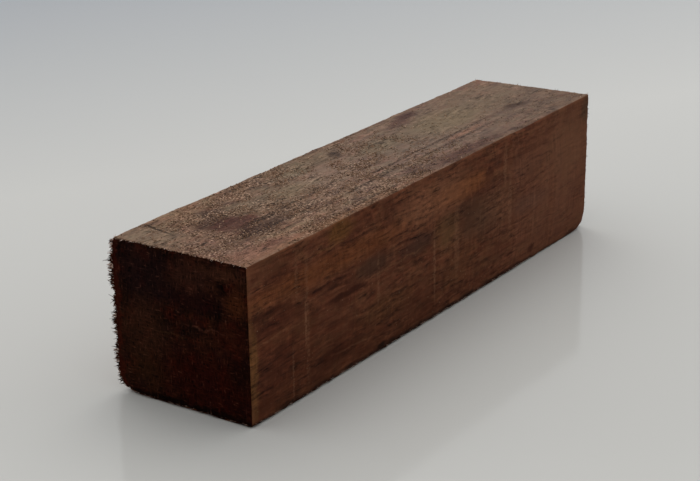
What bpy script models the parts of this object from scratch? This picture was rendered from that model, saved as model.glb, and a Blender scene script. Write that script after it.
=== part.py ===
"""A rough-sawn block of snakewood, as sold for knife handles and small turnings.

Metres, +Z up. The grain runs along X, from the frayed near end at -X to the far end at +X.
The block lies on its flat bottom face, whose centre is the origin.
"""

import math
import random

import bmesh
import bpy
from mathutils import Matrix, Vector, noise

# Size of the block. It was sawn a little out of square, so each end and each top corner has its own size.
LENGTH = 0.1520
NEAR_WIDTH = 0.0360
FAR_WIDTH = 0.0350
NEAR_LEFT_HEIGHT = 0.0362
NEAR_RIGHT_HEIGHT = 0.0366
FAR_LEFT_HEIGHT = 0.0364
FAR_RIGHT_HEIGHT = 0.0374
# The top of the near end leans out past its foot, and so does the top of the far end.
NEAR_LEAN = 0.0006
FAR_LEAN = 0.0004

# Slices that give the faces points to move: close together in from each arris, then evenly spaced.
ARRIS_SLICES = (0.0004, 0.0011, 0.0022, 0.0038)
LENGTH_STEP = 0.0031
CROSS_STEP = 0.0036

# Rounding of the arrises.
SHARP_RADIUS = 0.0004
RADIUS_VARIATION = 0.0003
# The left foot arris is waney: roundest at the near end, and within this reach of the arris.
WANE_RADIUS = 0.0017
WANE_END_RADIUS = 0.0008
WANE_LENGTH = 0.0600
WANE_REACH = 0.0033
# Corners of the box that are worn round: signs of x, y and z, radius, reach.
WORN_CORNERS = (
    ((1, -1, -1), 0.0026, 0.0030),
    ((-1, 1, 1), 0.0008, 0.0022),
)

# Places where the top right arris has been knocked: distance from the near end, half length, radius.
KNOCKS = (
    (0.0270, 0.0070, 0.0009),
    (0.0560, 0.0050, 0.0008),
    (0.0880, 0.0090, 0.0007),
    (0.1180, 0.0080, 0.0013),
)
KNOCK_REACH = 0.0030

# Relief of the sawn faces.
WAVE_HEIGHT = 0.00016
WAVE_LENGTH = 0.0210
ROUGH_HEIGHT = 0.00007
ROUGH_LENGTH = 0.0052
SAW_RIDGES = (0.0155, 0.0205, 0.0490, 0.0735, 0.1095, 0.1310)
SAW_RIDGE_HEIGHT = 0.00012
SAW_RIDGE_WIDTH = 0.0022
SAW_CURVE = 0.0030
FLAT_FOOT = 0.0012
# How sharply a point at an arris belongs to the face that it is nearest to.
FACING_POWER = 24

# The saw left the near end along its left arris, and pushed up a burr of wood there.
BURR_HEIGHT = 0.00050
BURR_WIDTH = 0.00110
BURR_FOOT = 0.0070

# Torn fibres that stand out along the ends' arrises.
SPLINTER_SIDES = 3
SPLINTER_SUNK = 0.0008
SPLINTER_ROOT = (0.00026, 0.00050)
SPLINTER_JITTER = 0.35
FRINGE_SEED = 11
# For each fringe: how far it stops short of its arris's ends, how far apart and how long its fibres are, how far in
# from the arris they are rooted, and how far they lean along the two axes across their heading.
NEAR_FRINGE_ENDS = (0.0012, 0.0008)
NEAR_FRINGE_PITCH = 0.00046
NEAR_FRINGE_LENGTH = (0.00035, 0.00130)
NEAR_FRINGE_INSET = (0.0002, 0.0007)
NEAR_FRINGE_LEAN = ((-0.9, 0.1), (-0.55, 0.35))
FAR_FRINGE_ENDS = (0.0040, 0.0015)
FAR_FRINGE_PITCH = 0.00150
FAR_FRINGE_LENGTH = (0.00030, 0.00075)
FAR_FRINGE_INSET = (0.0002, 0.0006)
FAR_FRINGE_LEAN = ((-0.1, 0.8), (-0.4, 0.3))
FOOT_FRINGE_ENDS = (0.0020, 0.0060)
FOOT_FRINGE_PITCH = 0.00640
FOOT_FRINGE_LENGTH = (0.00030, 0.00060)
FOOT_FRINGE_INSET = (0.0007, 0.0012)
FOOT_FRINGE_LEAN = ((-0.4, 0.4), (0.0, 0.2))

WIDTH = (NEAR_WIDTH + FAR_WIDTH) / 2
HEIGHT = (NEAR_LEFT_HEIGHT + NEAR_RIGHT_HEIGHT + FAR_LEFT_HEIGHT + FAR_RIGHT_HEIGHT) / 4
HALF_SIZE = Vector((LENGTH / 2, WIDTH / 2, HEIGHT / 2))

# Sawn face, as broken rough from the saw: dark reddish brown, dry and matt.
WOOD_COLOUR = (0.095, 0.040, 0.022, 1.0)
WOOD_ROUGHNESS = 0.72
# Edges that turn by more than this, in degrees, stay sharp.
SHARP_ANGLE = 32


def clear_scene():
    """Remove every object that the open file holds."""
    for item in list(bpy.data.objects):
        bpy.data.objects.remove(item, do_unlink=True)


def new_collection(name):
    """Return a new collection in the scene."""
    collection = bpy.data.collections.new(name)
    bpy.context.scene.collection.children.link(collection)
    return collection


def wood_material():
    """Return the dry, dark red-brown finish of the sawn wood."""
    material = bpy.data.materials.new("sawn_snakewood")
    material.use_nodes = True
    shader = material.node_tree.nodes["Principled BSDF"]
    shader.inputs["Base Color"].default_value = WOOD_COLOUR
    shader.inputs["Roughness"].default_value = WOOD_ROUGHNESS
    shader.inputs["Metallic"].default_value = 0.0
    material.diffuse_color = WOOD_COLOUR
    return material


def smooth(value):
    """Return 0 to 1 for 0 to 1, with level ends."""
    value = min(max(value, 0.0), 1.0)
    return value * value * (3 - 2 * value)


def bump(offset, width):
    """Return a rounded bump of height 1 at no offset, which is gone at about twice the width."""
    return math.exp(-((offset / width) ** 2))


def slice_positions(low, high, step):
    """Return where to slice between two faces: close to each face, and evenly between."""
    inner_low = low + ARRIS_SLICES[-1]
    inner_high = high - ARRIS_SLICES[-1]
    cells = round((inner_high - inner_low) / step)
    middle = [inner_low + (inner_high - inner_low) * k / cells for k in range(cells + 1)]
    return [low + inset for inset in ARRIS_SLICES[:-1]] + middle + [high - inset for inset in ARRIS_SLICES[:-1]]


def sliced_box():
    """Return a box of the block's mean size, sliced across all three axes."""
    mesh = bmesh.new()
    bmesh.ops.create_cube(mesh, size=2.0)
    bmesh.ops.scale(mesh, vec=HALF_SIZE, verts=mesh.verts)
    for axis, step in enumerate((LENGTH_STEP, CROSS_STEP, CROSS_STEP)):
        normal = Vector((0.0, 0.0, 0.0))
        normal[axis] = 1.0
        for position in slice_positions(-HALF_SIZE[axis], HALF_SIZE[axis], step):
            everything = mesh.verts[:] + mesh.edges[:] + mesh.faces[:]
            bmesh.ops.bisect_plane(mesh, geom=everything, plane_co=normal * position, plane_no=normal)
    return mesh


def arris_radius(point):
    """Return how far the arrises are rounded near a point of the box."""
    from_near_end = point.x + HALF_SIZE.x
    radius = SHARP_RADIUS + RADIUS_VARIATION * noise.noise(point / ROUGH_LENGTH)
    from_left_foot = math.hypot(point.y - HALF_SIZE.y, point.z + HALF_SIZE.z)
    wane = WANE_RADIUS + (WANE_END_RADIUS - WANE_RADIUS) * smooth(from_near_end / WANE_LENGTH)
    radius += wane * bump(from_left_foot, WANE_REACH)
    for signs, worn_radius, reach in WORN_CORNERS:
        corner = Vector([sign * half for sign, half in zip(signs, HALF_SIZE)])
        radius += worn_radius * bump((point - corner).length, reach)
    from_top_right = math.hypot(point.y + HALF_SIZE.y, point.z - HALF_SIZE.z)
    for place, half_length, knock_radius in KNOCKS:
        radius += knock_radius * bump(from_near_end - place, half_length) * bump(from_top_right, KNOCK_REACH)
    return max(radius, SHARP_RADIUS / 2)


def rounded(point):
    """Move a point of the box's surface in, so that the arris or corner beside it is round."""
    radius = arris_radius(point)
    core = Vector([min(max(point[k], radius - HALF_SIZE[k]), HALF_SIZE[k] - radius) for k in range(3)])
    outward = point - core
    reach = max(abs(component) for component in outward)
    if outward.length == 0:
        return point.copy()
    return core + outward.normalized() * reach


def relief(point):
    """Return how high the sawn surface stands at a point, from waves, roughness and saw ridges."""
    height = WAVE_HEIGHT * noise.noise(point / WAVE_LENGTH) + ROUGH_HEIGHT * noise.noise(point / ROUGH_LENGTH)
    across = point.z / HALF_SIZE.z
    for ridge in SAW_RIDGES:
        place = ridge - HALF_SIZE.x + SAW_CURVE * (1 - across * across)
        height += SAW_RIDGE_HEIGHT * bump(point.x - place, SAW_RIDGE_WIDTH) * abs(point.y) / HALF_SIZE.y
    return height


def burr(point):
    """Return how far the left arris of the near end is pushed out to the left at a point of the box."""
    from_arris = math.hypot(point.x + HALF_SIZE.x, point.y - HALF_SIZE.y)
    above_foot = smooth((point.z + HALF_SIZE.z) / BURR_FOOT)
    return BURR_HEIGHT * bump(from_arris, BURR_WIDTH) * above_foot


def out_of_square(point):
    """Fit a point of the box to the sizes of the two ends and of the four top corners, standing on z = 0."""
    far = (point.x + HALF_SIZE.x) / LENGTH
    left = (point.y + HALF_SIZE.y) / WIDTH
    up = (point.z + HALF_SIZE.z) / HEIGHT
    near_height = NEAR_RIGHT_HEIGHT + (NEAR_LEFT_HEIGHT - NEAR_RIGHT_HEIGHT) * left
    far_height = FAR_RIGHT_HEIGHT + (FAR_LEFT_HEIGHT - FAR_RIGHT_HEIGHT) * left
    width = NEAR_WIDTH + (FAR_WIDTH - NEAR_WIDTH) * far
    lean = (FAR_LEAN * far - NEAR_LEAN * (1 - far)) * (up - 0.5)
    return Vector((point.x + lean, (left - 0.5) * width, up * (near_height + (far_height - near_height) * far)))


def sawn(point):
    """Move a point of the box's surface to where it is on the sawn block."""
    round_point = rounded(point)
    outward = Vector([component / half for component, half in zip(point, HALF_SIZE)])
    facing = Vector([math.copysign(abs(component) ** FACING_POWER, component) for component in outward]).normalized()
    above_foot = smooth((round_point.z + HALF_SIZE.z) / FLAT_FOOT)
    round_point += facing * relief(round_point) * above_foot
    round_point.y += burr(point)
    return out_of_square(round_point)


def sawn_block():
    """Return the mesh of the block: round arrises and worn corners, sawn relief, and a flat foot."""
    mesh = sliced_box()
    for vert in mesh.verts:
        vert.co = sawn(vert.co)
    bmesh.ops.triangulate(mesh, faces=mesh.faces[:])
    bmesh.ops.recalc_face_normals(mesh, faces=mesh.faces[:])
    return mesh


def add_splinter(mesh, root, direction, length, root_radius):
    """Add one torn fibre to a mesh: a three-sided spike whose root is sunk in the wood."""
    depth = length + SPLINTER_SUNK
    turn = Vector((0.0, 0.0, 1.0)).rotation_difference(direction).to_matrix().to_4x4()
    place = Matrix.Translation(root + direction * (depth / 2 - SPLINTER_SUNK)) @ turn
    spike = bmesh.ops.create_cone(
        mesh, cap_ends=True, segments=SPLINTER_SIDES, radius1=root_radius, radius2=0.0, depth=depth, matrix=place
    )
    bmesh.ops.remove_doubles(mesh, verts=spike["verts"], dist=1e-7)


def fringe_roots(length, ends, pitch, draw):
    """Yield places along an arris of a given length, each a random part of the pitch away from its even place."""
    for k in range(round((length - ends[0] - ends[1]) / pitch)):
        yield ends[0] + pitch * (k + 0.5 + draw.uniform(-SPLINTER_JITTER, SPLINTER_JITTER))


def fringe():
    """Return the meshes of the torn fibres, one to a splinter, so that each is a closed body."""
    draw = random.Random(FRINGE_SEED)
    spikes = []

    def tear(on_box, heading, lengths):
        mesh = bmesh.new()
        length = draw.uniform(*lengths)
        add_splinter(mesh, sawn(on_box), heading.normalized(), length, draw.uniform(*SPLINTER_ROOT))
        spikes.append(mesh)

    for z in fringe_roots(HEIGHT, NEAR_FRINGE_ENDS, NEAR_FRINGE_PITCH, draw):
        on_left_face = Vector((draw.uniform(*NEAR_FRINGE_INSET) - HALF_SIZE.x, HALF_SIZE.y, z - HALF_SIZE.z))
        heading = Vector((draw.uniform(*NEAR_FRINGE_LEAN[0]), 1.0, draw.uniform(*NEAR_FRINGE_LEAN[1])))
        tear(on_left_face, heading, NEAR_FRINGE_LENGTH)
    for z in fringe_roots(HEIGHT, FAR_FRINGE_ENDS, FAR_FRINGE_PITCH, draw):
        on_left_face = Vector((HALF_SIZE.x - draw.uniform(*FAR_FRINGE_INSET), HALF_SIZE.y, z - HALF_SIZE.z))
        heading = Vector((draw.uniform(*FAR_FRINGE_LEAN[0]), 1.0, draw.uniform(*FAR_FRINGE_LEAN[1])))
        tear(on_left_face, heading, FAR_FRINGE_LENGTH)
    for y in fringe_roots(WIDTH, FOOT_FRINGE_ENDS, FOOT_FRINGE_PITCH, draw):
        on_near_end = Vector((-HALF_SIZE.x, y - HALF_SIZE.y, draw.uniform(*FOOT_FRINGE_INSET) - HALF_SIZE.z))
        heading = Vector((-1.0, draw.uniform(*FOOT_FRINGE_LEAN[0]), draw.uniform(*FOOT_FRINGE_LEAN[1])))
        tear(on_near_end, heading, FOOT_FRINGE_LENGTH)
    return spikes


def object_from(mesh, name, collection):
    """Return a new object that holds a bmesh, which is freed."""
    data = bpy.data.meshes.new(name)
    mesh.to_mesh(data)
    mesh.free()
    item = bpy.data.objects.new(name, data)
    collection.objects.link(item)
    return item


def fuse_fringe(block, spikes):
    """Join the splinters to the block with one Boolean union, and remove their objects."""
    helpers = new_collection("torn_fibres")
    for k, spike in enumerate(spikes):
        helper = object_from(spike, f"splinter_{k}", helpers)
        helper.hide_render = True
        helper.display_type = "WIRE"
    union = block.modifiers.new("fuse_fibres", "BOOLEAN")
    union.operation = "UNION"
    union.operand_type = "COLLECTION"
    union.collection = helpers
    union.solver = "EXACT"
    bpy.context.view_layer.update()
    fused = bpy.data.meshes.new_from_object(block.evaluated_get(bpy.context.evaluated_depsgraph_get()))
    block.modifiers.remove(union)
    block.data = fused
    for helper in list(helpers.objects):
        bpy.data.objects.remove(helper, do_unlink=True)
    bpy.data.collections.remove(helpers)


def main():
    """Model the block."""
    clear_scene()
    block = object_from(sawn_block(), "snakewood_block", new_collection("snakewood_block"))
    fuse_fringe(block, fringe())
    block.data.materials.clear()
    block.data.materials.append(wood_material())
    block.data.shade_smooth()
    block.data.set_sharp_from_angle(angle=math.radians(SHARP_ANGLE))


main()
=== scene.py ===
"""Looks of a rough-sawn snakewood block: its sawn wood, torn fibres and caught sawdust, on a pale table.

Metres, +Z up. The grain runs along X, from the frayed near end at -X to the far end at +X. It rests on z = 0.
"""

import logging
import math
import random
from dataclasses import dataclass, field
from enum import Enum
from typing import Iterable, Iterator, Optional, Union

import bmesh
import bpy
import numpy as np
from mathutils import Matrix, Vector, noise


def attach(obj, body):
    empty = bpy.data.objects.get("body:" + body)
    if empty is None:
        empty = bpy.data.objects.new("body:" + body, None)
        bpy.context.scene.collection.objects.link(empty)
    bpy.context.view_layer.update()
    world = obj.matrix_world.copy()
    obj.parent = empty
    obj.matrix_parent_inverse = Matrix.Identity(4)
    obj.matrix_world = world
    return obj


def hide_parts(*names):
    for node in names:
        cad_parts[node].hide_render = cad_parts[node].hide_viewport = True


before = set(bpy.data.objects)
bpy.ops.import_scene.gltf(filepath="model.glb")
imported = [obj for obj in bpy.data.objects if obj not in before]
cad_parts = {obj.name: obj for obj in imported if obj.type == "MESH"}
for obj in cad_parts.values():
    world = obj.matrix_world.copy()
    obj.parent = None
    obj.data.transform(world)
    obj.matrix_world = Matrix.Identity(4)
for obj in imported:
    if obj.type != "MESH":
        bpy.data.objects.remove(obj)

LOG = logging.getLogger("snakewood_block")
MM = 0.001
NODE = "snakewood_block"
BODY = "root"
# How far a spot reaches into the wood, and how straight along an axis an edge or a normal has to point.
SPOT_DEPTH = 4.0 * MM
PARALLEL = 0.9

Pair = tuple[float, float]
Triple = tuple[float, float, float]
Socket = bpy.types.NodeSocket
SocketValue = Union[Socket, float, tuple, list]


class Face(Enum):
    """The six faces of the block, each with its axis and the sign of its outward normal."""

    NEAR = (0, -1)
    FAR = (0, 1)
    RIGHT = (1, -1)
    LEFT = (1, 1)
    FOOT = (2, -1)
    TOP = (2, 1)


class Cut(Enum):
    """How a face was cut, which is also its place in the block's list of materials."""

    RESAWN = 0
    RIPPED = 1
    CROSSCUT = 2


def smooth(value: float) -> float:
    """Return 0 to 1 for 0 to 1, with level ends."""
    value = min(max(value, 0.0), 1.0)
    return value * value * (3 - 2 * value)


def bump(offset: float, width: float) -> float:
    """Return a rounded bump of height 1 at no offset, which is gone at about twice the width."""
    return math.exp(-((offset / width) ** 2))


def linear(hex_colour: str) -> tuple[float, float, float, float]:
    """Turn an sRGB hex colour into linear red, green, blue and a full alpha.

    Args:
        hex_colour: The colour, such as "#5F3A29".

    Returns:
        The colour as Blender's sockets take it.
    """
    channels = [int(hex_colour[k : k + 2], 16) / 255 for k in (1, 3, 5)]
    red, green, blue = [c / 12.92 if c <= 0.04045 else ((c + 0.055) / 1.055) ** 2.4 for c in channels]
    return red, green, blue, 1.0


def deselect_all() -> None:
    """Leave edit mode and deselect every object."""
    if bpy.context.object and bpy.context.object.mode != "OBJECT":
        bpy.ops.object.mode_set(mode="OBJECT")
    bpy.ops.object.select_all(action="DESELECT")


def named(name: str) -> bpy.types.Object:
    """Name the object that was added last, and its mesh.

    Args:
        name: The new name.

    Returns:
        The object.
    """
    item = bpy.context.object
    item.name = name
    item.data.name = name
    return item


@dataclass(frozen=True)
class Blank:
    """Sizes of the sawn block, and the rule that turns a point of a plain box into a point of sawn wood."""

    length: float = 152.0 * MM
    near_width: float = 36.0 * MM
    far_width: float = 35.0 * MM
    near_left_height: float = 36.2 * MM
    near_right_height: float = 36.6 * MM
    far_left_height: float = 36.4 * MM
    far_right_height: float = 37.4 * MM
    near_lean: float = 0.6 * MM
    far_lean: float = 0.4 * MM
    sharp_radius: float = 0.4 * MM
    radius_variation: float = 0.3 * MM
    wane_radius: float = 1.7 * MM
    wane_end_radius: float = 0.8 * MM
    wane_length: float = 60.0 * MM
    wane_reach: float = 3.3 * MM
    # Each worn corner's signs along X, Y and Z, its radius and its reach.
    worn_corners: tuple = (((1, -1, -1), 2.6 * MM, 3.0 * MM), ((-1, 1, 1), 0.8 * MM, 2.2 * MM))
    # Each knock's place from the near end, its half length and its radius.
    knocks: tuple = (
        (27.0 * MM, 7.0 * MM, 0.9 * MM),
        (56.0 * MM, 5.0 * MM, 0.8 * MM),
        (88.0 * MM, 9.0 * MM, 0.7 * MM),
        (118.0 * MM, 8.0 * MM, 1.3 * MM),
    )
    knock_reach: float = 3.0 * MM
    nick_depth: float = 0.30 * MM
    end_nick_depth: float = 0.9 * MM
    end_nick_reach: float = 0.7 * MM
    foot_radius: float = 0.25 * MM
    foot_reach: float = 1.6 * MM
    foot_nick_depth: float = 0.55 * MM
    nick_length: float = 1.3 * MM
    fine_nick_share: float = 0.5
    fine_nick_scale: float = 0.4
    wave_height: float = 0.16 * MM
    wave_length: float = 21.0 * MM
    rough_height: float = 0.07 * MM
    rough_length: float = 5.2 * MM
    saw_ridges: tuple = (15.5 * MM, 20.5 * MM, 49.0 * MM, 73.5 * MM, 109.5 * MM, 131.0 * MM)
    saw_ridge_height: float = 0.12 * MM
    saw_ridge_width: float = 2.2 * MM
    saw_curve: float = 3.0 * MM
    flat_foot: float = 1.2 * MM
    burr_height: float = 0.70 * MM
    burr_width: float = 1.30 * MM
    burr_foot: float = 5.0 * MM
    grit_height: float = 0.055 * MM
    grit_length: float = 1.5 * MM
    tooth_pitch: float = 3.1 * MM
    tooth_height: float = 0.030 * MM
    tooth_wander: float = 0.6
    facing_power: int = 24

    @property
    def width(self) -> float:
        """Return the mean width."""
        return (self.near_width + self.far_width) / 2

    @property
    def height(self) -> float:
        """Return the mean height."""
        heights = (self.near_left_height, self.near_right_height, self.far_left_height, self.far_right_height)
        return sum(heights) / len(heights)

    @property
    def half(self) -> Vector:
        """Return half the mean length, width and height."""
        return Vector((self.length, self.width, self.height)) / 2

    def on_top(self, along: float, across: float) -> Vector:
        """Return a point on the plain box's top, given from its near end and its right side."""
        half = self.half
        return Vector((along - half.x, across - half.y, half.z))

    def arris_radius(self, point: Vector) -> float:
        """Return how far the arrises are rounded near a point of the box.

        Args:
            point: A point on the plain box.

        Returns:
            The radius, which is larger at the waney arris, the worn corners and the knocks.
        """
        half = self.half
        from_near_end = point.x + half.x
        radius = self.sharp_radius + self.radius_variation * noise.noise(point / self.rough_length)
        from_left_foot = math.hypot(point.y - half.y, point.z + half.z)
        narrowing = (self.wane_end_radius - self.wane_radius) * smooth(from_near_end / self.wane_length)
        radius += (self.wane_radius + narrowing) * bump(from_left_foot, self.wane_reach)
        for signs, worn_radius, reach in self.worn_corners:
            corner = Vector([sign * side for sign, side in zip(signs, half)])
            radius += worn_radius * bump((point - corner).length, reach)
        from_top_right = math.hypot(point.y + half.y, point.z - half.z)
        for place, half_length, knock_radius in self.knocks:
            knock = bump(from_near_end - place, half_length) * bump(from_top_right, self.knock_reach)
            radius += knock_radius * knock
        radius += self.foot_radius * bump(point.z + half.z, self.foot_reach)
        fine_nick = noise.noise(point / (self.fine_nick_scale * self.nick_length))
        nick = noise.noise(point / self.nick_length) + self.fine_nick_share * fine_nick
        from_far_end = self.length - from_near_end
        at_an_end = bump(from_near_end, self.end_nick_reach) + bump(from_far_end, self.end_nick_reach)
        depth = self.nick_depth + self.end_nick_depth * at_an_end
        depth += self.foot_nick_depth * bump(point.z + half.z, self.foot_reach)
        return max(radius + depth * max(nick, 0.0), self.sharp_radius / 2)

    def rounded(self, point: Vector, radius: float) -> Vector:
        """Move a point of the box's surface in, so that the arris or corner beside it is round.

        Args:
            point: A point on the plain box.
            radius: The radius of the arrises there.

        Returns:
            The point on the rounded box.
        """
        half = self.half
        core = Vector([min(max(point[k], radius - half[k]), half[k] - radius) for k in range(3)])
        outward = point - core
        if outward.length == 0:
            return point.copy()
        return core + outward.normalized() * max(abs(component) for component in outward)

    def relief(self, point: Vector) -> float:
        """Return how high the sawn surface stands at a point, from waves, roughness, grit and saw marks.

        Args:
            point: A point on the rounded box.

        Returns:
            The height above the rounded box.
        """
        half = self.half
        height = self.wave_height * noise.noise(point / self.wave_length)
        height += self.rough_height * noise.noise(point / self.rough_length)
        height += self.grit_height * noise.noise(point / self.grit_length)
        across = point.z / half.z
        sideways = abs(point.y) / half.y
        curve = self.saw_curve * (1 - across * across)
        for ridge in self.saw_ridges:
            place = ridge - half.x + curve
            height += self.saw_ridge_height * bump(point.x - place, self.saw_ridge_width) * sideways
        wander = self.tooth_wander * noise.noise(point / self.wave_length)
        stroke = math.sin(2 * math.pi * ((point.x - curve) / self.tooth_pitch + wander))
        return height + self.tooth_height * stroke * noise.noise(point / self.rough_length + half)

    def burr(self, point: Vector) -> float:
        """Return how far the left arris of the near end is pushed out to the left.

        Args:
            point: A point on the plain box.

        Returns:
            The distance there.
        """
        half = self.half
        from_arris = math.hypot(point.x + half.x, point.y - half.y)
        above_foot = smooth((point.z + half.z) / self.burr_foot)
        return self.burr_height * bump(from_arris, self.burr_width) * above_foot

    def out_of_square(self, point: Vector) -> Vector:
        """Fit a point of the box to the sizes of its two ends and four top corners, standing on z = 0.

        Args:
            point: A point in the box that is centred on the origin.

        Returns:
            The point in the frame of the block.
        """
        half = self.half
        far = (point.x + half.x) / self.length
        left = (point.y + half.y) / self.width
        up = (point.z + half.z) / self.height
        near_height = self.near_right_height + (self.near_left_height - self.near_right_height) * left
        far_height = self.far_right_height + (self.far_left_height - self.far_right_height) * left
        width = self.near_width + (self.far_width - self.near_width) * far
        lean = (self.far_lean * far - self.near_lean * (1 - far)) * (up - 0.5)
        height = near_height + (far_height - near_height) * far
        return Vector((point.x + lean, (left - 0.5) * width, up * height))

    def sawn(self, point: Vector) -> Vector:
        """Move a point of the plain box to where it is on the sawn block.

        Args:
            point: A point on the plain box, which is centred on the origin.

        Returns:
            The point on the sawn wood, in the frame of the block.
        """
        half = self.half
        round_point = self.rounded(point, self.arris_radius(point))
        outward = [component / side for component, side in zip(point, half)]
        facing = [math.copysign(abs(part) ** self.facing_power, part) for part in outward]
        above_foot = smooth((round_point.z + half.z) / self.flat_foot)
        round_point += Vector(facing).normalized() * self.relief(round_point) * above_foot
        round_point.y += self.burr(point)
        return self.out_of_square(round_point)


@dataclass(frozen=True)
class Levels:
    """The heights of a pattern at which something starts to show and shows fully, and how strongly.

    It comes up evenly between them, or softly where soft is set.
    """

    start: float
    full: float
    most: float = 1.0
    least: float = 0.0
    soft: bool = False


@dataclass(frozen=True)
class Cloud:
    """A cloudy pattern: how large its patches are along X, Y and Z, in millimetres.

    Its detail is how many finer patterns it carries, and its roughness is how strongly they show.
    """

    along: float
    across: float
    up: float
    detail: float
    roughness: float = 0.62


@dataclass(frozen=True)
class Wander:
    """How drawn edges wander: how far apart the turns are, and twice how far they go along X, Y and Z.

    Both are millimetres.
    """

    length: float
    reach: Triple
    detail: float = 4.0
    roughness: float = 0.55


@dataclass(frozen=True)
class Spot:
    """A place on one face, as a flat ellipse with a fading edge. Its places and sizes are millimetres.

    Fields are its face, its place along the face, from the near end or on the near end from the left arris,
    its place down from the face's upper or left arris, its half length and half width, how strongly it
    covers, how far its edge fades as a share of its size, its colour, if any, and its turn, in degrees.
    """

    face: Face
    along: float
    down: float
    half_length: float
    half_width: float
    cover: float
    fade: float
    colour: str = ""
    turn: float = 0.0

    @property
    def levels(self) -> Levels:
        """Return how it shows at a distance from its middle that is 1 at its rim."""
        return Levels(1 + self.fade, 1 - self.fade, self.cover, soft=True)

    def box(self, blank: Blank) -> tuple[tuple, tuple]:
        """Work out where it is on the block.

        Args:
            blank: The block's sizes.

        Returns:
            Its middle and its half sizes in the block's frame, in metres.
        """
        length, width = self.half_length * MM, self.half_width * MM
        side = blank.width / 2
        x = self.along * MM - blank.length / 2
        if self.face in (Face.TOP, Face.FOOT):
            level = blank.height if self.face is Face.TOP else 0.0
            return (x, side - self.down * MM, level), (length, width, SPOT_DEPTH)
        level = blank.height - self.down * MM
        if self.face is Face.NEAR:
            return (-blank.length / 2, side - self.along * MM, level), (SPOT_DEPTH, length, width)
        return (x, self.face.value[1] * side, level), (length, SPOT_DEPTH, width)

    def covers(self, along: float, down: float) -> float:
        """Work out how strongly it covers a point of its face.

        Args:
            along: How far the point is along the face, in millimetres.
            down: How far the point is down the face, in millimetres.

        Returns:
            The cover there.
        """
        reach = math.hypot((along - self.along) / self.half_length, (down - self.down) / self.half_width)
        return self.cover * smooth((1 + self.fade - reach) / (2 * self.fade))


def spots_on(face: Face, rows: Iterable[tuple]) -> tuple[Spot, ...]:
    """Return the spots of one face, each from a row of a Spot's other fields."""
    return tuple(Spot(face, *row) for row in rows)


# Each row is a spot's place along and down, half length, half width, cover, fade, colour and turn.
TOP_STAINS = spots_on(
    Face.TOP,
    (
        (70, 18, 34, 20, 0.3, 0.6, "#77675D"),
        (122, 18, 44, 20, 0.46, 0.5, "#6C5D54"),
        (137, 28, 16, 8, 0.4, 0.6, "#5A473A"),
        (35, 14, 16, 7, 0.45, 0.7, "#6E5E4C"),
        (60, 5, 14, 4, 0.5, 0.7, "#6B5D47"),
        (120, 14, 34, 6.5, 0.5, 0.7, "#76644F"),
        (85, 12, 9, 3, 0.45, 0.7, "#6C5F49"),
        (6, 26, 7, 9, 0.5, 0.7, "#76594D"),
        (5.5, 31.5, 7.5, 4, 0.6, 0.7, "#7B5444"),
        (33, 34.6, 34, 1.4, 0.6, 0.5, "#835C42"),
        (20, 2.6, 5, 1.9, 0.4, 0.6, "#846248"),
        (22.5, 8.8, 4.4, 2.8, 0.85, 0.5, "#412D22"),
        (18, 13.6, 5.8, 3.2, 0.85, 0.5, "#3E2720"),
        (20.5, 17.2, 7, 3.7, 0.9, 0.35, "#52322A"),
        (20.5, 23.6, 8.5, 3, 0.88, 0.5, "#38251F"),
        (30, 22, 9, 2.4, 0.6, 0.6, "#513B30"),
        (14.5, 31.2, 2.4, 1.5, 0.6, 0.5, "#5F3530"),
        (73, 7.2, 2.6, 1.6, 0.8, 0.4, "#44322A", 30),
        (66, 8, 7, 1, 0.5, 0.4, "#4E3D31"),
        (72.5, 30.5, 4.5, 2.2, 0.6, 0.5, "#503A36"),
        (87.3, 10.8, 1.3, 0.8, 0.7, 0.4, "#44342A"),
        (110, 3.6, 5.4, 1.9, 0.85, 0.5, "#4A302B", 4),
        (104, 6.2, 4.5, 1.7, 0.75, 0.5, "#5A4038"),
        (133, 23, 4, 1.4, 0.85, 0.5, "#443129", -12),
        (92, 33, 18, 2.4, 0.75, 0.5, "#50332D"),
        (46, 14.5, 8, 3, 0.45, 0.6, "#7E6C53"),
        (49.8, 1.6, 1.2, 0.6, 0.8, 0.3, "#32241D"),
        (51.6, 6.3, 1.2, 0.6, 0.7, 0.3, "#3E2E22"),
        (3.5, 7, 6, 8, 0.55, 0.6, "#7A6957"),
        (60, 14, 12, 8, 0.35, 0.7, "#8C7463"),
        (9.5, 32.6, 11, 3, 0.5, 0.6, "#87604E"),
        (56.5, 7.5, 3.6, 2.2, 0.45, 0.6, "#66604C"),
        (30, 11, 3.4, 1.8, 0.45, 0.6, "#8A7660"),
        (112, 14.5, 12, 6.5, 0.45, 0.6, "#7E6C53"),
        (133, 5.5, 11, 2.6, 0.35, 0.6, "#76604C"),
        (104.5, 24.5, 9, 1, 0.55, 0.6, "#8E6450"),
        (148, 14.5, 1.6, 1.6, 0.35, 0.5, "#9A7868"),
        (113.5, 33.8, 2, 0.9, 0.6, 0.5, "#42302A"),
        (134.2, 33.8, 1.6, 0.9, 0.6, 0.5, "#42302A"),
    ),
)

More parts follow.
